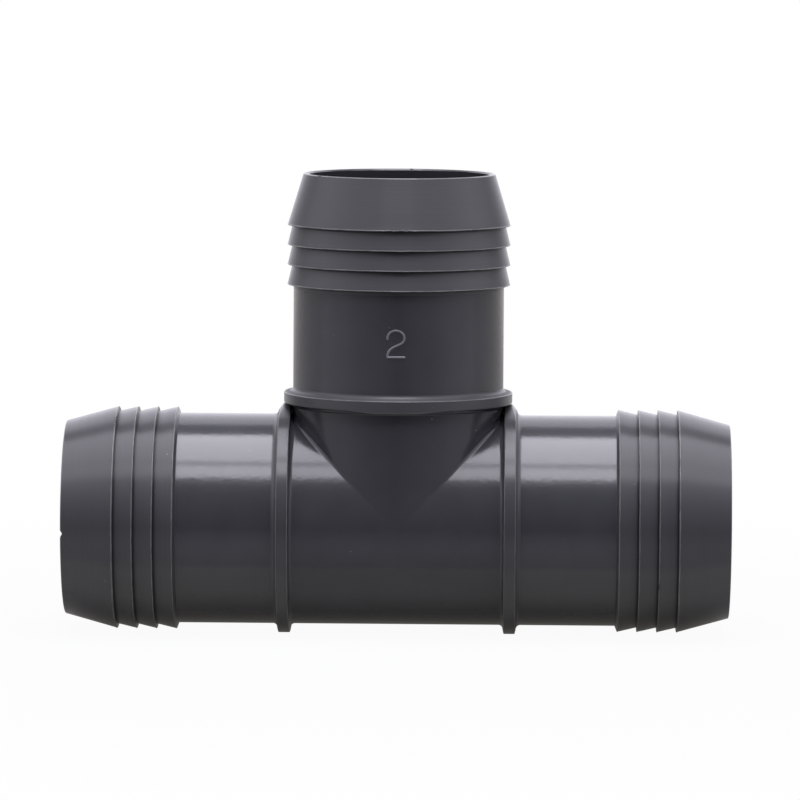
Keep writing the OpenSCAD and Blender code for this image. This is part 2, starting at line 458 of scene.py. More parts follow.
def turned_pvc(name, finishes, axis):
    """Rigid PVC moulded against a turned steel face, with a polished core inside.

    Fine rings from the lathe tool spread the lamps into a soft satin band, and handling has scuffed
    the crests, the collars' corners and the tip's edge pale. That paleness is partly wear and partly a
    painted highlight along these edges.
    """
    material, tree = empty_material(name)
    sizes = bpy.context.scene.tee_sizes
    end = next(end for end in ENDS if end.axis == axis)
    place = add_node(tree, "TexCoord").outputs["Object"]
    parts = add_node(tree, "SeparateXYZ", Vector=place).outputs
    spoke = add_node(tree, "CombineXYZ", X=parts[(axis + 1) % 3], Y=parts[(axis + 2) % 3])
    radius = add_node(tree, "VectorMath", DISTANCE, _0=spoke.outputs[0]).outputs["Value"]
    out = add_node(tree, "Math", SIZE_ONLY, _0=parts[axis]).outputs[0]
    colour, pale = linear(finishes.satin_colour), linear(finishes.scuff_and_highlight_colour)
    tip, round_ = tip_radius(sizes, end), sizes.tip_round
    crest, collar = sizes.crest_radius, sizes.collar_radius
    # Edges that rub in the box go pale: the last 0.14 mm of each crest, the rim of the tip, and the
    # collars' corners, between their flanks and their outer face. The paleness is partly wear and partly
    # a painted highlight along these edges
    crests = mask(tree, (radius, crest - 0.14 * MM, crest - 0.08 * MM),
                  (out, end.barbs_start, end.barbs_start + 0.1 * MM))
    rim = mask(tree, (out, end.tip - round_, end.tip - 0.4 * round_),
               (radius, tip - 1.5 * round_, tip - round_))
    corner = mask(tree, (radius, collar - 0.2 * MM, collar - 0.15 * MM),
                  (radius, collar - 0.01 * MM, collar - 0.04 * MM))
    edge = add_node(tree, "Math", LARGER, _0=crests, _1=rim).outputs[0]
    edge = add_node(tree, "Math", LARGER, _0=edge, _1=corner).outputs[0]
    uneven = waves(tree, place, (2.5, 2.5, 2.5), 3, (0.35, 1))
    scuffs_and_painted_highlight = add_node(tree, "Math", PRODUCT, _0=edge, _1=uneven).outputs[0]
    # Painted shade: the pigment darkens in the root under each crest, where the crest shades it
    root_painted_shade = mask(tree, (radius, sizes.valley_radius + 0.16 * MM, sizes.valley_radius + 0.04 * MM),
                 (out, end.barbs_start + 0.6 * MM, end.barbs_start + 0.8 * MM),
                 (out, end.first_crest, end.first_crest - 0.1 * MM))
    root_painted_shade = add_node(tree, "Math", PRODUCT, _0=root_painted_shade, _1=0.6).outputs[0]
    # The bore is polished, and its pigment is darkened inside it as painted shade
    bore_top = sizes.bore_radius + sizes.mouth_draft
    outside = mask(tree, (radius, bore_top + 0.05 * MM, bore_top + 0.15 * MM))
    rings = along(axis, 0.45, 90)
    uneven_rings = waves(tree, place, rings, 3, (0, 1))
    pigment = coats(tree, lighter(colour, 0.95), (uneven_rings, lighter(colour, 1.05)),
                    (scuffs_and_painted_highlight, pale), (dust(tree, place), pale), (root_painted_shade, lighter(colour, 0.25)))
    pigment = coats(tree, lighter(colour, 0.6), (outside, pigment))
    normal = relief(
        tree,
        # Tool rings 0.45 mm apart, at most 1.2 microns high
        (waves(tree, place, rings, 3), 0.0012 * MM),
        # Grain of 0.35 mm between them, at most 1 micron high
        (waves(tree, place, (0.35, 0.35, 0.35)), 0.001 * MM))
    # The collars' flanks were cut dull
    top = collar_top(sizes, end)
    flank = mask(tree, (radius, sizes.body_radius + 0.1 * MM, sizes.body_radius + 1.0 * MM),
                 (out, top - 0.3 * MM, top - 0.1 * MM), (out, end.seat_stop, end.seat_stop - 0.5 * MM))
    level = finishes.satin_roughness
    rough = waves(tree, place, along(axis, 0.9, 60), 2.0, (level - 0.02, level + 0.02))
    rough = add_node(tree, "Mix", _0=outside, _2=BORE_ROUGHNESS, _3=rough).outputs[0]
    rough = add_node(tree, "Mix", _0=flank, _2=rough, _3=FLANK_ROUGHNESS).outputs[0]
    round_axis = add_node(tree, "Tangent", {"direction_type": "RADIAL", "axis": "XYZ"[axis]})
    shader = add_node(tree, "BsdfPrincipled", Base_Color=pigment, Roughness=rough,
                      IOR=PVC_IOR, Normal=normal, Anisotropic=0.88, Anisotropic_Rotation=0.25,
                      Tangent=round_axis.outputs[0])
    add_node(tree, "OutputMaterial", Surface=shader.outputs[0])
    return material


def polished(name, finishes, shine=0.5, paler=1.0, dull=1.0):
    """The polished PVC of this name, made once."""
    name = f"pvc_moulded_polished_{name}"
    if name in bpy.data.materials:
        return bpy.data.materials[name]
    return polished_pvc(name, finishes, lighter(linear(finishes.gloss_colour), paler), shine, dull)


def turned(axis):
    """The turned PVC whose tool marks run round this axis, made once."""
    name = f"pvc_moulded_turned_{'xyz'[axis]}"
    if name in bpy.data.materials:
        return bpy.data.materials[name]
    return turned_pvc(name, bpy.context.scene.tee_finishes, axis)


def tip_radius(sizes, end):
    return sizes.branch_tip_radius if end.name == "branch" else sizes.tip_radius


# ---------------------------------------------------------------- barbed ends

# Bruised stretches of crest: end, crest counted from the tip, middle and half width in degrees
BRUISES = (
    ("left", 0, 66, 9),
    ("branch", 0, 1, 9),
    ("right", 1, -30, 5),
    ("branch", 2, 140, 8),
    ("left", 2, 200, 8),
)
# A tip's outer edge and its mouth's edge, which are told apart from the crests by numbers of their own
TIP, MOUTH = -1, -2
# Nicks in them: end, edge, middle and half width in degrees, depth inwards and along the axis in millimetres
NICKS = (
    ("left", TIP, -4.2, 1.7, 0.1, 0.5),
    ("left", MOUTH, -4.2, 1.7, 0.1, 0.45),
    ("branch", TIP, -55.5, 2.6, 0.25, 0.12),
    ("branch", MOUTH, 173.6, 1.2, -0.4, 0.3),
)


# How often a crest wavers on its way round, and how far in radius and in height
WAVER_TURNS = (3, 7, 16, 31, 57)
WAVER = (0.006 * MM, 0.010 * MM)
CREST_WEAR = 0.022 * MM
BRUISE_TURNS = (90, 143, 211)
BRUISE_DEPTH = 0.035 * MM
BRUISE_SHIFT = 0.075 * MM
# The bead on a crest turns this far to each side of its middle
BEAD_DEGREES = 75
# A crest's waver dies out this far from its bead towards the tip. On the nose it dies out at this share of
# the nose's length from the tip
WAVER_REACH = 0.7 * MM
NOSE_STEADY_SHARE = 0.94
# Facets round a piece, finer where the crests waver
TURNS = 360
CREST_TURNS = 540


def degrees_off(angles, middle):
    """How far angles in radians lie from a middle in degrees, as -180 to 180 degrees."""
    return (np.degrees(angles) - middle + 180) % 360 - 180


def crest_wander(end, crest, angles):
    """How a crest strays in radius and height: a faint waver all round, and ragged where it is bruised."""
    draw = random.Random(f"{end.name} crest {crest}")
    grow = np.zeros((len(angles), 2))
    if crest in (TIP, MOUTH):
        for name, edge, middle, half, inwards, down in NICKS:
            if (name, edge) == (end.name, crest):
                cut = np.clip(1.2 - np.abs(degrees_off(angles, middle) / half), 0, 1)
                grow -= np.outer(cut, (inwards * MM, down * MM))
        return grow
    for count in WAVER_TURNS:
        for column, size in enumerate(WAVER):
            grow[:, column] += size * np.sin(count * angles + draw.uniform(0, 2 * math.pi))
    grow[:, 0] -= CREST_WEAR
    for name, which, middle, half in BRUISES:
        if (name, which) != (end.name, crest):
            continue
        inside = np.clip(1 - (degrees_off(angles, middle) / half) ** 2, 0, 1)
        for count in BRUISE_TURNS:
            phase = draw.uniform(0, 2 * math.pi)
            grow[:, 0] -= BRUISE_DEPTH * inside * (1 + np.sin(count * angles + phase))
            grow[:, 1] += BRUISE_SHIFT * inside * np.sin(count * 0.7 * angles + phase)
    grow[-1] = grow[0]
    return grow


def barbed_section(sizes, end, barbs):
    """Half section of the nose, barbs and mouth, drawn from the seat round the tip and down the bore."""
    on_branch = end.name == "branch"
    lift = sizes.branch_lift if on_branch else 0.0
    last_back = sizes.branch_last_back if on_branch else sizes.last_back_length
    last_foot = end.first_crest - (barbs - 1) * sizes.barb_pitch + lift - last_back
    pen = HalfSection(sizes.bore_radius, end.barbs_start)
    pen.line(sizes.body_radius, end.barbs_start)
    pen.line(sizes.body_radius, last_foot)
    for crest in reversed(range(barbs)):
        middle = end.first_crest - crest * sizes.barb_pitch + lift
        bead = sizes.first_bead if crest == 0 else sizes.other_bead
        lean = math.radians(BEAD_DEGREES)
        foot_r = sizes.crest_radius - bead + bead * math.cos(lean)
        pen.line(foot_r, middle - bead * math.sin(lean), 1, crest)
        pen.arc(sizes.crest_radius - bead, middle, bead, -BEAD_DEGREES, BEAD_DEGREES, 10, 1, crest)
        if crest > 0:
            next_foot = middle + sizes.barb_pitch - sizes.crest_land / 2 - sizes.back_length
            top = middle + bead * math.sin(lean)
            fall = (foot_r - sizes.valley_radius) * WAVER_REACH / (next_foot - top)
            pen.line(foot_r - fall, top + WAVER_REACH, 0, crest)
            pen.line(sizes.valley_radius, next_foot)
    round_ = sizes.tip_round
    tip = tip_radius(sizes, end)
    steady_r = tip + (pen.now[0] - tip) * NOSE_STEADY_SHARE
    steady_h = end.tip - round_ + (pen.now[1] - end.tip + round_) * NOSE_STEADY_SHARE
    pen.line(steady_r, steady_h, 0, 0)
    pen.line(tip, end.tip - round_, 1, TIP)
    pen.arc(tip - round_, end.tip - round_, round_, 0, 90, 10, 1, TIP)
    pen.line(sizes.bore_radius + sizes.mouth_draft + sizes.mouth_chamfer, end.tip, 1, MOUTH)
    pen.line(sizes.bore_radius + sizes.mouth_draft, end.tip - sizes.mouth_depth, 1, MOUTH)
    pen.line(sizes.bore_radius, end.barbs_start)
    return pen


class TEE_OT_barbed_ends(bpy.types.Operator):
    """Builds the nose, barbs and mouth of the three ends"""
    bl_idname = "tee.barbed_ends"
    bl_label = "Barbed ends"

    def execute(self, context):
        sizes = context.scene.tee_sizes
        for end in ENDS:
            length_left = end.first_crest - end.barbs_start - sizes.last_back_length
            barbs = 1 + round(length_left / sizes.barb_pitch)
            skin = Skin()
            skin.revolve(barbed_section(sizes, end, barbs), end, CREST_TURNS, crest_wander)
            piece = skin.build(f"{end.name}_barbed_end", turned(end.axis))
            settle(piece, "satin_pvc", f"{end.name}_barbs")
        return {"FINISHED"}


# ---------------------------------------------------------------- clamp seats and stop collars


class TEE_OT_clamp_seats(bpy.types.Operator):
    """Builds the plain walls that the hose clamps close on"""
    bl_idname = "tee.clamp_seats"
    bl_label = "Clamp seats"

    def execute(self, context):
        sizes = context.scene.tee_sizes
        for end in ENDS:
            start = collar_top(sizes, end) + sizes.seat_fillet
            pen = HalfSection(sizes.bore_radius, start)
            pen.line(sizes.body_radius, start)
            pen.line(sizes.body_radius, end.seat_stop)
            pen.line(sizes.bore_radius, end.seat_stop)
            pen.line(sizes.bore_radius, start)
            skin = Skin()
            skin.revolve(pen, end, TURNS)
            piece = skin.build(f"{end.name}_clamp_seat", polished("seat", context.scene.tee_finishes))
            settle(piece, "gloss_pvc", f"{end.name}_seat")
        return {"FINISHED"}


# The hub keeps this much of the fillet at a collar's foot, and the collar has the rest
SEAM_DEGREES = 60
# Where a collar's form changes, in degrees off the branch collar's front or back, or off a run collar's top
UNDER_ROUNDS = (80, 40)
UNDER_RISES = (9, 27)
FOOT_RISES = (60, 28)
TOP_LEANS = (27, 1)
TOP_REACHES = (14, 2)
# The fillet at the branch collar's foot keeps this far under its lower edge
FOOT_GAP = 0.01 * MM


def foot_fillet(sizes, end):
    """The fillet on the hub's side of a collar."""
    return sizes.neck_fillet if end.name == "branch" else sizes.hub_fillet


def seam_setback(sizes, end):
    """How far the seam lies from the end of the hub-side fillet."""
    return foot_fillet(sizes, end) * (1 - math.sin(math.radians(SEAM_DEGREES)))


def collar_top(sizes, end):
    """Where the collar's flank meets the fillet on its seat's side."""
    width = sizes.branch_width if end.name == "branch" else sizes.collar_width
    return end.collar_start + seam_setback(sizes, end) + width


def collar_section(sizes, end, angle):
    """Half section of a stop collar on its stretch of wall, at this angle round its axis.

    The branch collar's lower edge dips at the front and back, and rises towards its ends, where the tops of
    the run's collars lean in and rise to meet it.
    """
    fillet, seat, round_ = foot_fillet(sizes, end), sizes.seat_fillet, sizes.collar_round
    foot = end.collar_start + seam_setback(sizes, end)
    top = collar_top(sizes, end)
    under, low, lean, reach = round_, foot + sizes.collar_draft, sizes.collar_draft, sizes.collar_radius
    if end.name == "branch":
        off_front = math.degrees(abs((angle + math.pi / 2) % math.pi - math.pi / 2))
        under += (sizes.under_round - round_) * ease(*UNDER_ROUNDS, off_front)
        low += sizes.under_lift * ease(*UNDER_RISES, off_front) - sizes.under_drop
        # The fillet at its foot keeps just under this edge, but comes down again towards the ends
        rise = FOOT_GAP + (low - foot - 2 * FOOT_GAP) * ease(*FOOT_RISES, off_front)
    else:
        off_top = abs(math.degrees(angle) - 90)
        lean += sizes.lean_in * ease(*TOP_LEANS, off_top)
        reach += sizes.reach_up * ease(*TOP_REACHES, off_top)
    high = top - lean - round_
    pen = HalfSection(sizes.bore_radius, end.collar_start)
    seam_radius = sizes.body_radius + fillet * (1 - math.cos(math.radians(SEAM_DEGREES)))
    pen.line(seam_radius, end.collar_start)
    if end.name == "branch":
        pen.line(seam_radius, end.collar_start + rise)
        foot += rise
    pen.arc(sizes.body_radius + fillet, foot - fillet, fillet, 180 - SEAM_DEGREES, 90)
    pen.line(reach - under, low)
    pen.arc(reach - under, low + under, under, -90, 0)
    pen.line(reach, high)
    pen.arc(reach - round_, high, round_, 0, 90)
    pen.line(sizes.body_radius + seat, top)
    pen.arc(sizes.body_radius + seat, top + seat, seat, -90, -180)
    pen.line(sizes.bore_radius, top + seat)
    pen.line(sizes.bore_radius, end.collar_start)
    return pen


class TEE_OT_stop_collars(bpy.types.Operator):
    """Builds the collars that the pipe's end butts against"""
    bl_idname = "tee.stop_collars"
    bl_label = "Stop collars"

    def execute(self, context):
        sizes = context.scene.tee_sizes
        for end in ENDS:
            skin = Skin()
            skin.sweep(lambda angle: collar_section(sizes, end, angle), end, TURNS)
            piece = skin.build(f"{end.name}_stop_collar", turned(end.axis))
            settle(piece, "satin_pvc", f"{end.name}_collar")
        return {"FINISHED"}


# ---------------------------------------------------------------- hub


def off_run(t):
    """The direction away from the run's axis at angle t."""
    return np.array((0, -math.cos(t), math.sin(t)))


def off_neck(t):
    """The direction away from the branch's axis at angle t."""
    return np.array((math.sin(t), -math.cos(t), 0))


class HubForm:
    """The crossing of run and branch, with a ball of the crotch fillet's radius rolled round the mitre.

    The angle t goes round the mitre from the front, over the top, to the back. All forms are on the +X side.
    """

    ARC_STEPS = 10
    RING_STEPS = 8
    WALL_STEPS = 10
    # The web at the neck's sides laps the run collar's flank by this, and fades over about these degrees
    WEB_LAP = 0.2 * MM
    WEB_FADE = 5

    def __init__(self, sizes, run_end, branch_end):
        self.body = sizes.body_radius
        self.bore = sizes.bore_radius
        self.ball = sizes.crotch_fillet
        self.fillet = sizes.hub_fillet
        self.neck_fillet = sizes.neck_fillet
        self.run_stop = run_end.collar_start
        self.neck_stop = branch_end.collar_start
        self.seam = math.radians(SEAM_DEGREES)
        self.flank_lean = sizes.collar_draft / (sizes.collar_radius - sizes.body_radius)
        self.run_wall = self.run_stop - self.fillet * math.sin(self.seam)
        self.neck_wall = self.neck_stop - self.neck_fillet * math.sin(self.seam)

    @staticmethod
    def facing(points, normal):
        """Points that all face one way, with that normal at each."""
        return points, np.broadcast_to(np.array(normal, float), points.shape)

    def on_crotch(self, t, u):
        """Point and normal on the crotch fillet, from the run at u = 0 to the neck at u = 1."""
        from_run, from_neck = off_run(t), off_neck(t)
        turn = math.acos(min(1.0, math.cos(t) ** 2))
        if turn < 1e-6:
            normal = from_run
        else:
            normal = (math.sin((1 - u) * turn) * from_run + math.sin(u * turn) * from_neck) / math.sin(turn)
        reach = self.body + self.ball
        middle = reach * np.array((math.sin(t), -math.cos(t), math.sin(t)))
        return middle - self.ball * normal, normal

    def rise(self, x):
        """Radius of the run, with the fillet that climbs to its collar."""
        climb = min(max(x - self.run_wall, 0), self.fillet)
        return self.body + self.fillet - math.sqrt(self.fillet ** 2 - climb ** 2)

    def crotch_start(self, t):
        """Where the crotch fillet comes out of the run, its collar's fillet or the seam."""
        def free(u):
            point, _ = self.on_crotch(t, u)
            radius = math.hypot(point[1], point[2])
            return min(radius - self.rise(min(point[0], self.run_stop)) + 1e-9, self.run_stop - point[0])
        if self.on_crotch(t, 0)[0][0] <= self.run_wall:
            return 0.0
        low, high = 0.0, 1.0
        for _ in range(40):
            middle = (low + high) / 2
            low, high = (low, middle) if free(middle) >= 0 else (middle, high)
        return high

    def ring(self, turn, azimuth, start):
        """Points and normals up a fillet of the run, between two angles of the fillet."""
        steps = np.linspace(turn, start, self.RING_STEPS + 1)
        radius = self.body + self.fillet * (1 - np.cos(steps))
        points = np.stack([self.run_wall + self.fillet * np.sin(steps),
                           -radius * math.cos(azimuth), radius * math.sin(azimuth)], -1)
        normals = np.stack([-np.sin(steps), -np.cos(steps) * math.cos(azimuth),
                            np.cos(steps) * math.sin(azimuth)], -1)
        return points, normals

    def run_row(self, t):
        """The row of the run's outside at angle t: fillet ring, then wall, as far as the crotch fillet."""
        u = self.crotch_start(t)
        start, _ = self.on_crotch(t, u)
        if u == 0.0:
            ring = self.ring(self.seam, t, 0.0)
            wall_x = np.linspace(self.run_wall, start[0], self.WALL_STEPS + 1)
            azimuth = t
        else:
            azimuth = math.atan2(start[2], -start[1])
            bend = math.asin(min(1.0, (start[0] - self.run_wall) / self.fillet))
            ring = self.ring(self.seam, azimuth, min(bend, self.seam))
            if bend >= self.seam - 1e-6:
                ring = (np.repeat(start[None], self.RING_STEPS + 1, 0), ring[1])
            wall_x = np.full(self.WALL_STEPS + 1, start[0])
        radius = self.body if u == 0.0 else math.hypot(start[1], start[2])
        outward = off_run(azimuth)
        wall = np.outer(wall_x, (1, 0, 0)) + radius * outward
        shares = np.linspace(u, 1, self.ARC_STEPS + 1)
        arc = [self.on_crotch(t, s) for s in shares]
        arc = [(p + self.web(t, p[2]) * i / self.ARC_STEPS * off_neck(t), n) for i, (p, n) in enumerate(arc)]
        ring[0][-1] = wall[0]
        wall[-1] = arc[0][0]
        if u > 0:
            wall[:] = arc[0][0]
            ring[0][-1] = arc[0][0]
        return {
            "ring": ring,
            "wall": self.facing(wall, outward),
            "arc": (np.array([p for p, _ in arc]), np.array([n for _, n in arc])),
        }

    def web(self, t, heights):
        """How far the neck swells at its sides, to close the slot that the run collar's flank would leave."""
        slot = self.run_stop - self.body + self.WEB_LAP + self.flank_lean * (heights - self.body)
        return slot * math.exp(-((math.degrees(t) - 90) / self.WEB_FADE) ** 2)

    def neck_row(self, t):
        """The row of the neck's outside at angle t: wall, then the fillet up to the branch collar."""
        outward = off_neck(t)
        up = np.array((0, 0, 1.0))
        heights = np.linspace((self.body + self.ball) * math.sin(t), self.neck_wall, self.WALL_STEPS + 1)
        wall = np.outer(self.body + self.web(t, heights), outward) + np.outer(heights, up)
        steps = np.linspace(0, self.seam, self.RING_STEPS + 1)
        rise = self.neck_wall + self.neck_fillet * np.sin(steps)
        ring = (np.outer(self.body + self.neck_fillet * (1 - np.cos(steps)) + self.web(t, rise), outward)
                + np.outer(rise, up))
        ring_normals = np.outer(np.cos(steps), outward) - np.outer(np.sin(steps), up)
        return {"neck_wall": self.facing(wall, outward), "neck_ring": (ring, ring_normals)}

    def bore_row(self, t):
        """The rows of the two bores at angle t, which meet on the mitre."""
        inward_run, inward_neck = -off_run(t), -off_neck(t)
        xs = np.linspace(self.run_stop, self.bore * math.sin(t), self.WALL_STEPS + 1)
        zs = np.linspace(self.bore * math.sin(t), self.neck_stop, self.WALL_STEPS + 1)
        run = np.outer(xs, (1, 0, 0)) - self.bore * inward_run
        neck = np.outer(zs, (0, 0, 1)) - self.bore * inward_neck
        return {"run_bore": self.facing(run, inward_run), "neck_bore": self.facing(neck, inward_neck)}

    def end_faces(self, rows):
        """The flat faces that close the wall, at the run's seam and the neck's seam."""
        faces = {}
        for name, outer, inner, end, normal in (("run_end", "ring", "run_bore", 0, (1.0, 0, 0)),
                                                ("neck_end", "neck_ring", "neck_bore", -1, (0, 0, 1.0))):
            points = np.array([[row[outer][0][end], row[inner][0][end]] for row in rows])
            faces[name] = self.facing(points, normal)
        return faces

    def upper(self, skin, steps):
        """Both sides of the upper half."""
        rows = [{**self.run_row(t), **self.neck_row(t), **self.bore_row(t)}
                for t in np.linspace(0, math.pi, steps + 1)]
        patches = {name: (np.array([row[name][0] for row in rows]), np.array([row[name][1] for row in rows]))
                   for name in rows[0]}
        patches.update(self.end_faces(rows))
        mirror = np.array((-1.0, 1.0, 1.0))
        for points, normals in patches.values():
            skin.patch(points, normals)
            skin.patch(points * mirror, normals * mirror)

    def lower(self, skin, steps):
        """The lower half of the run: one plain row repeated round the underside."""
        front = self.run_row(0.0)
        angles = np.linspace(math.pi, 2 * math.pi, steps + 1)
        half_x = np.concatenate([front["ring"][0][:, 0], front["wall"][0][1:, 0]])
        half_r = np.concatenate([-front["ring"][0][:, 1], -front["wall"][0][1:, 1]])
        half_n = np.concatenate([front["ring"][1], front["wall"][1][1:]])
        for side in (1.0, -1.0):
            spokes = np.stack([np.zeros_like(angles), -np.cos(angles), np.sin(angles)], -1)
            points = spokes[:, None, :] * half_r[None, :, None]
            points[..., 0] = side * half_x
            normals = spokes[:, None, :] * (-half_n[:, 1])[None, :, None]
            normals[..., 0] = side * half_n[:, 0]
            skin.patch(points, normals)
            bore_x = np.linspace(self.run_stop, 0, self.WALL_STEPS + 1)
            bore = np.repeat(spokes[:, None, :] * self.bore, self.WALL_STEPS + 1, 1)
            bore[..., 0] = side * bore_x
            skin.patch(bore, np.repeat(-spokes[:, None, :], self.WALL_STEPS + 1, 1))
            face = np.stack([points[:, 0], bore[:, 0]], 1)
            skin.patch(*self.facing(face, (side, 0.0, 0.0)))


class TEE_OT_hub(bpy.types.Operator):
    """Builds the crossing of run and branch, with its blended crotch and the bores inside"""
    bl_idname = "tee.hub"
    bl_label = "Hub"

    def execute(self, context):
        _, run_end, branch_end = ENDS
        form = HubForm(context.scene.tee_sizes, run_end, branch_end)
        skin = Skin()
        form.upper(skin, TURNS // 2)
        form.lower(skin, TURNS // 2)
        piece = skin.build("mitred_hub", polished("hub", context.scene.tee_finishes, shine=0.4))
        settle(piece, "gloss_pvc", "hub")
        return {"FINISHED"}


# ---------------------------------------------------------------- size mark


def numeral_path(width, height):
    """The middle line of a plain 2, as points [across, up], from its start to the end of its foot."""
    half = width / 2
    bowl = 0.288 * height
    turns = np.radians(np.arange(184, -1, -8))
    path = [(half * math.cos(a), height - bowl + bowl * math.sin(a)) for a in turns]
    start, lead_out = np.array((half, height - bowl)), np.array((half, 0.36 * height))
    lead_in, corner = np.array((-0.97 * half, 0.53 * height)), np.array((-half, 0.0))
    for u in np.linspace(0, 1, 25)[1:]:
        path.append((1 - u) ** 3 * start + 3 * u * (1 - u) ** 2 * lead_out
                    + 3 * u * u * (1 - u) * lead_in + u ** 3 * corner)
    path += [(-half + width * u, 0.0) for u in np.linspace(0, 1, 9)[1:]]
    return np.array(path)


class TEE_OT_size_mark(bpy.types.Operator):
    """Raises the plain size number on the front of the branch's clamp seat"""
    bl_idname = "tee.size_mark"
    bl_label = "Size mark"

    # Half section of a stroke: share of its half width, share of its relief, and the face's slope in degrees
    STROKE = (((1, -0.5), (1, 0), 0), ((1, 0), (0.3, 0.8), 42), ((0.3, 0.8), (0, 1), 70))
    # How far the number stands off the middle of the seat, across and up
    SHIFT = (-0.16 * MM, 0.56 * MM)

    def execute(self, context):
        sizes = context.scene.tee_sizes
        branch = ENDS[2]
        across, up = self.SHIFT
        foot = (branch.seat_start + branch.seat_stop - sizes.mark_height) / 2 + up
        path = numeral_path(sizes.mark_width, sizes.mark_height) + (across, foot)
        skin = Skin()
        self.stroke(skin, path, sizes)
        piece = skin.build("size_mark_2", polished("mark", context.scene.tee_finishes, paler=3.2, dull=1.8))
        settle(piece, "gloss_pvc")
        return {"FINISHED"}

    def stroke(self, skin, path, sizes):
        """A ridge with round ends that follows the path on the wall."""
        half, wall = sizes.mark_stroke / 2, sizes.body_radius
        ahead = np.gradient(path, axis=0)
        ahead /= np.linalg.norm(ahead, axis=1)[:, None]
        cap = np.radians(np.arange(90, 0, -15))
        middles = np.concatenate([
            path[0] - np.outer(half * np.sin(cap), ahead[0]), path,
            path[-1] + np.outer(half * np.sin(cap[::-1]), ahead[-1])])
        headings = np.concatenate(
            [np.repeat(ahead[:1], len(cap), 0), ahead, np.repeat(ahead[-1:], len(cap), 0)])
        scale = np.concatenate([np.cos(cap), np.ones(len(path)), np.cos(cap[::-1])])
        lean = np.concatenate([-np.sin(cap), np.zeros(len(path)), np.sin(cap[::-1])])
        across = np.stack([headings[:, 1], -headings[:, 0]], -1)
        for start, stop, slope in self.STROKE:
            for side in (1, -1):
                points = []
                normals = []
                rise, level = math.sin(math.radians(slope)), math.cos(math.radians(slope))
                for width, lift in (start, stop):
                    flat = middles + across * (side * half * width * scale)[:, None]
                    height = wall + sizes.mark_relief * lift * np.where(lift > 0, scale, 1)
                    azimuth = flat[:, 0] / wall
                    sine, cosine = np.sin(azimuth), np.cos(azimuth)
                    points.append(np.stack([height * sine, -height * cosine, flat[:, 1]], -1))
                    outwards = side * np.sqrt(1 - lean ** 2)[:, None] * across
                    face = level * (outwards + lean[:, None] * headings)
                    normals.append(np.stack([face[:, 0] * cosine + rise * sine,
                                             face[:, 0] * sine - rise * cosine, face[:, 1]], -1))
                skin.patch(np.stack(points, 1), np.stack(normals, 1))


# ---------------------------------------------------------------- studio

# Daylight lamps, a touch cool
LAMP_TINT = (1.0, 0.98, 1.08)
# Soft boxes: name, lowest and highest elevation in degrees, and distance
SOFT_BOXES = (("key_front", 49.5, 63.9, 1.2), ("key_top", 69.3, 108.3, 1.1))
SOFT_BOX_WIDTH = 0.5
# The angle over the tee from the front, in degrees, where the tent's key band starts and stops, and where
# the dim gap behind that band stops
KEY_STARTS, KEY_STOPS, GAP_STOPS = 49.5, 110, 129.5
# Where the camera aims, off the middle of the tee
AIM_SHIFT = (0.45 * MM, 0, 0.9 * MM)
# The floor's half width, and the line where its front part, which the tee doesn't mirror, meets the rest
FLOOR_REACH = 3.0
FLOOR_SPLIT = -40.5 * MM
# The horizon's glow in the tent by the turn from the front, in degrees
HORIZON_TURNS = (0, 39, 61, 90, 112, 132, 155, 180)
HORIZON_GLOW = (0.03, 0.24, 0.49, 0.63, 0.57, 0.38, 0.85, 1.2)


def aimed(name, data, place, side, up, back):
    """Puts a lamp or camera at a place, turned to these three directions of its own."""
    piece = add_object(name, data)
    piece.location = place
    piece.rotation_mode = "QUATERNION"
    piece.rotation_quaternion = Matrix((side, up, back)).transposed().to_quaternion()
    return piece


def soft_box(name, low, high, distance, width, radiance, aim):
    """A lamp panel in front and above, between two elevations in degrees, facing the tee."""
    middle = math.radians((low + high) / 2)
    half = math.radians((high - low) / 2)
    lamp = bpy.data.lights.new(name, "AREA")
    lamp.shape = "RECTANGLE"
    lamp.size = width
    lamp.size_y = 2 * distance * math.tan(half)
    lamp.energy = radiance * math.pi * lamp.size * lamp.size_y
    lamp.color = LAMP_TINT
    back = Vector((0, -math.cos(middle), math.sin(middle)))
    side = Vector((1, 0, 0))
    aimed(name, lamp, aim + back * distance, side, back.cross(side), back)


def studio_world(strength):
    """Even soft light, which the camera and mirror-like surfaces see as plain white."""
    world = bpy.data.worlds.new("studio")
    world.use_nodes = True
    tree = world.node_tree
    tree.nodes.clear()
    rays = add_node(tree, "LightPath").outputs
    seen = add_node(tree, "Math", {"operation": "ADD"}, _0=rays["Is Camera Ray"], _1=rays["Is Glossy Ray"])
    seen = add_node(tree, "Math", {"operation": "ADD", "use_clamp": True},
                    _0=seen.outputs[0], _1=rays["Is Transmission Ray"])
    level = add_node(tree, "MapRange", Value=seen.outputs[0], To_Min=strength, To_Max=1.0)
    light = add_node(tree, "Background", Color=(1, 1, 1, 1), Strength=level.outputs[0])
    add_node(tree, "OutputWorld", Surface=light.outputs[0])
    bpy.context.scene.world = world


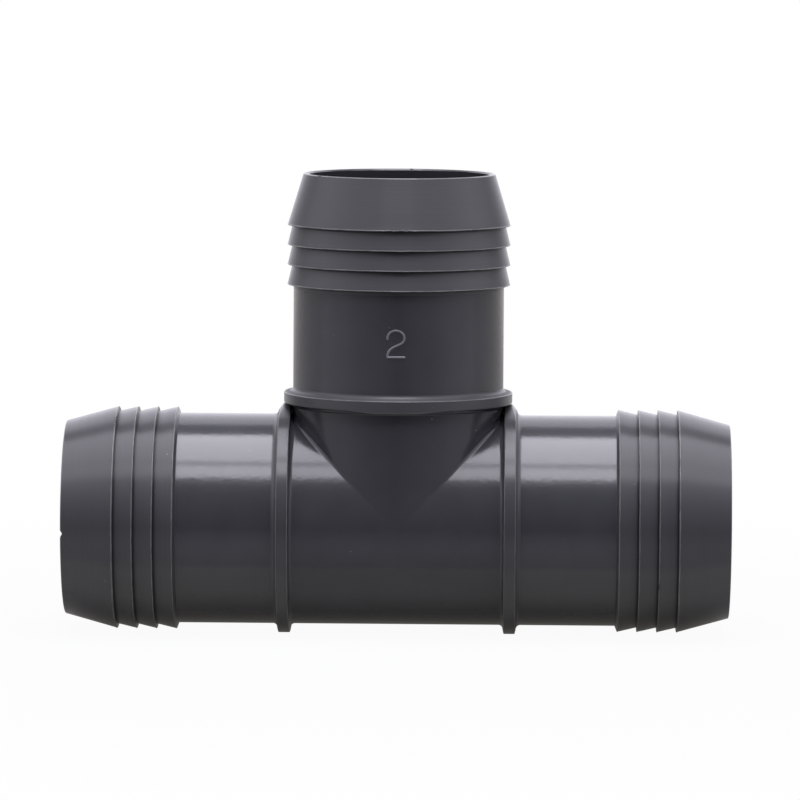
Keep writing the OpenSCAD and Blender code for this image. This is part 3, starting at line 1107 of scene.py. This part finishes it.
def floor_paper(colour):
    """Matte white paper. The camera sees it lifted towards white, with the tee's soft shadow left in it.

    It lets light through from below, so that the tee can be looked at from underneath.
    """
    material, tree = empty_material("matte_white_paper")
    rays = add_node(tree, "LightPath").outputs
    glossy = rays["Is Glossy Ray"]
    place = add_node(tree, "TexCoord").outputs["Object"]
    away = add_node(tree, "VectorMath", DISTANCE, _0=place).outputs["Value"]
    lift = add_node(tree, "MapRange", SMOOTH, Value=away, From_Min=0.1, From_Max=0.4, To_Min=0.95, To_Max=1.0)
    seen = add_node(tree, "Math", LARGER, _0=rays["Is Camera Ray"], _1=rays["Is Transmission Ray"])
    seen = add_node(tree, "Math", {"operation": "MULTIPLY_ADD"}, _0=glossy, _1=0.6, _2=seen.outputs[0])
    lift = add_node(tree, "Math", PRODUCT, _0=seen.outputs[0], _1=lift.outputs[0])
    # Mirrored in the tee: bright in front of it, dim underneath, and bright again far behind
    spot = add_node(tree, "SeparateXYZ", Vector=place).outputs
    beside = add_node(tree, "Math", SIZE_ONLY, _0=spot["X"]).outputs[0]
    glow = None
    for value, start, stop, before, after in ((beside, 0.07, 0.1, 0.29, 0.45),
                                              (spot["Y"], -0.024, -0.011, 0.82, None),
                                              (spot["Y"], 0.7, 1.1, None, 0.95)):
        glow = add_node(tree, "MapRange", SMOOTH, Value=value, From_Min=start, From_Max=stop,
                        To_Min=glow if before is None else before,
                        To_Max=glow if after is None else after).outputs[0]
    level = add_node(tree, "Mix", {"data_type": "FLOAT"}, _0=glossy, _2=1.0, _3=glow)
    tint = add_node(tree, "Mix", {"data_type": "RGBA"}, _0=glossy, _6=(1, 1, 1, 1), _7=(1.0, 0.95, 0.87, 1))
    paper = add_node(tree, "BsdfDiffuse", Color=colour, Roughness=1.0)
    white = add_node(tree, "Emission", Color=tint.outputs[2], Strength=level.outputs[0])
    top = add_node(tree, "MixShader", Fac=lift.outputs[0], _1=paper.outputs[0], _2=white.outputs[0])
    # Light passes from below
    below = add_node(tree, "NewGeometry").outputs["Backfacing"]
    clear = add_node(tree, "BsdfTransparent")
    sheet = add_node(tree, "MixShader", Fac=below, _1=top.outputs[0], _2=clear.outputs[0])
    add_node(tree, "OutputMaterial", Surface=sheet.outputs[0])
    material.cycles.emission_sampling = "NONE"
    return material


def ease(low, high, value):
    """Smooth step from 0 to 1."""
    share = np.clip((value - low) / (high - low), 0, 1)
    return share * share * (3 - 2 * share)


def tent_glow(directions):
    """How brightly the tent glows in each direction, seen from the tee. White paper is 1."""
    x, y, z = directions.T
    rise = np.degrees(np.arcsin(np.clip(z, -1, 1)))
    turn = np.degrees(np.abs(np.arctan2(x, -y)))
    side = np.degrees(np.abs(np.arcsin(np.clip(x, -1, 1))))
    over = np.degrees(np.arctan2(z, -y)) % 360
    horizon = np.interp(turn, HORIZON_TURNS, HORIZON_GLOW)
    below = np.clip(KEY_STARTS - over, 0, None)
    spill = 1.1 * np.exp(-below / 4) * np.exp(-(side / 16) ** 2)
    wash = (0.18 + 0.84 * np.clip(side / 30, 0, 1)) * np.exp(-below / 22)
    front = horizon + spill + wash
    key = 1.15 + 1.95 * np.exp(-(np.clip(side - 12, 0, None) / 16) ** 2)
    back = horizon + (1.4 - horizon) * ease(-10, 15, rise - (180 - turn) / 2)
    glow = np.select([over <= KEY_STARTS, over <= KEY_STOPS, over <= GAP_STOPS, over <= 180],
                     [front, key, 0.35 + 0 * x, back], 0)
    ends = horizon + 1.1 * ease(2, 28, rise) * ease(125, 105, turn)
    glow = glow + (ends - glow) * ease(48, 68, side)
    return np.where(z < 0, horizon + (0.5 - horizon) * ease(0, 28, -rise), glow)


def tent_cloth():
    """White tent cloth, lit from outside. Only the reflections in the tee show it."""
    material, tree = empty_material("tent_cloth")
    level = add_node(tree, "Attribute", {"attribute_name": "glow"}).outputs["Fac"]
    glow = add_node(tree, "Emission", Color=(*LAMP_TINT, 1), Strength=level)
    add_node(tree, "OutputMaterial", Surface=glow.outputs[0])
    return material


def plain_mesh(name, points, faces, material):
    mesh = bpy.data.meshes.new(name)
    mesh.from_pydata(points, [], faces)
    mesh.materials.append(material)
    piece = add_object(name, mesh)
    return piece


class TEE_OT_studio(bpy.types.Operator):
    """Sets the floor, the lamps and the camera"""
    bl_idname = "tee.studio"
    bl_label = "Studio"

    def execute(self, context):
        studio = context.scene.tee_studio
        low, high = CAD_BOX
        middle = (low + high) / 2
        self.floor(studio, low.z)
        self.tent(middle)
        for box in SOFT_BOXES:
            soft_box(*box, SOFT_BOX_WIDTH, studio.key_strength, middle)
        studio_world(studio.sky_strength)
        context.scene.view_settings.view_transform = "Standard"
        self.camera(context, studio, middle + Vector(AIM_SHIFT))
        return {"FINISHED"}

    def floor(self, studio, height):
        """Paper under and behind the tee, and the same paper in front, which the tee doesn't mirror."""
        paper = floor_paper(linear(studio.floor_colour))
        reach = FLOOR_REACH
        for name, front, back in (("floor", FLOOR_SPLIT, reach), ("floor_front", -reach, FLOOR_SPLIT)):
            corners = [(x, y, height) for x, y in
                       ((-reach, front), (reach, front), (reach, back), (-reach, back))]
            sheet = plain_mesh(name, corners, [(0, 1, 2, 3)], paper)
            sheet.visible_glossy = name == "floor"
            sheet.visible_diffuse = name == "floor"

    def tent(self, middle):
        """A round tent that stands about the tee and is seen only in its reflections."""
        turns, rises, distance = 144, 120, 2.6
        turn, rise = np.meshgrid(np.linspace(0, 2 * math.pi, turns, endpoint=False),
                                 np.linspace(-math.pi / 2, math.pi / 2, rises), indexing="ij")
        directions = np.stack([np.cos(rise) * np.sin(turn), -np.cos(rise) * np.cos(turn), np.sin(rise)], -1)
        directions = directions.reshape(-1, 3)
        strips = [(i * rises, (i + 1) % turns * rises) for i in range(turns)]
        faces = [(here + j, beside + j, beside + j + 1, here + j + 1)
                 for here, beside in strips for j in range(rises - 1)]
        points = (directions * distance + np.array(middle)).tolist()
        cloth = plain_mesh("tent", points, faces, tent_cloth())
        cloth.data.attributes.new("glow", "FLOAT", "POINT").data.foreach_set("value", tent_glow(directions))
        cloth.visible_camera = False
        cloth.visible_transmission = False
        cloth.visible_shadow = False

    def camera(self, context, studio, aim):
        turn, rise, roll = studio.camera_azimuth, studio.camera_elevation, studio.camera_roll
        back = Vector((math.sin(turn) * math.cos(rise), -math.cos(turn) * math.cos(rise), math.sin(rise)))
        level = Vector((math.cos(turn), math.sin(turn), 0))
        upright = level.cross(-back)
        right = level * math.cos(roll) + upright * math.sin(roll)
        up = upright * math.cos(roll) - level * math.sin(roll)
        lens = bpy.data.cameras.new("camera")
        lens.sensor_width = 36
        lens.lens = studio.lens_length
        lens.clip_end = 100
        context.scene.camera = aimed("camera", lens, aim + back * studio.camera_distance, right, up, back)


# ---------------------------------------------------------------- panel and registration

BUILD_STEPS = (TEE_OT_studio, TEE_OT_hub, TEE_OT_stop_collars, TEE_OT_clamp_seats, TEE_OT_barbed_ends,
               TEE_OT_size_mark)


class TEE_PT_panel(bpy.types.Panel):
    """Lists the sizes, the finishes and the pieces to build"""
    bl_idname = "TEE_PT_panel"
    bl_label = "Barbed Insert Tee"
    bl_space_type = "VIEW_3D"
    bl_region_type = "UI"
    bl_category = "Tee"

    def draw(self, context):
        scene = context.scene
        for group in (getattr(scene, name) for name in GROUPS):
            box = self.layout.box()
            for field in group.bl_rna.properties:
                if field.identifier not in ("rna_type", "name"):
                    box.prop(group, field.identifier)
        for step in BUILD_STEPS:
            self.layout.operator(step.bl_idname)


GROUPS = {"tee_sizes": TeeSizes, "tee_finishes": TeeFinishes, "tee_studio": TeeStudio}
CLASSES = (*GROUPS.values(), *BUILD_STEPS, TEE_PT_panel)


def register():
    for cls in CLASSES:
        bpy.utils.register_class(cls)
    for name, group in GROUPS.items():
        setattr(bpy.types.Scene, name, bpy.props.PointerProperty(type=group))


def unregister():
    for name in GROUPS:
        delattr(bpy.types.Scene, name)
    for cls in reversed(CLASSES):
        bpy.utils.unregister_class(cls)


def main():
    register()
    for step in BUILD_STEPS:
        group, name = step.bl_idname.split(".")
        getattr(getattr(bpy.ops, group), name)()


if __name__ == "__main__":
    main()
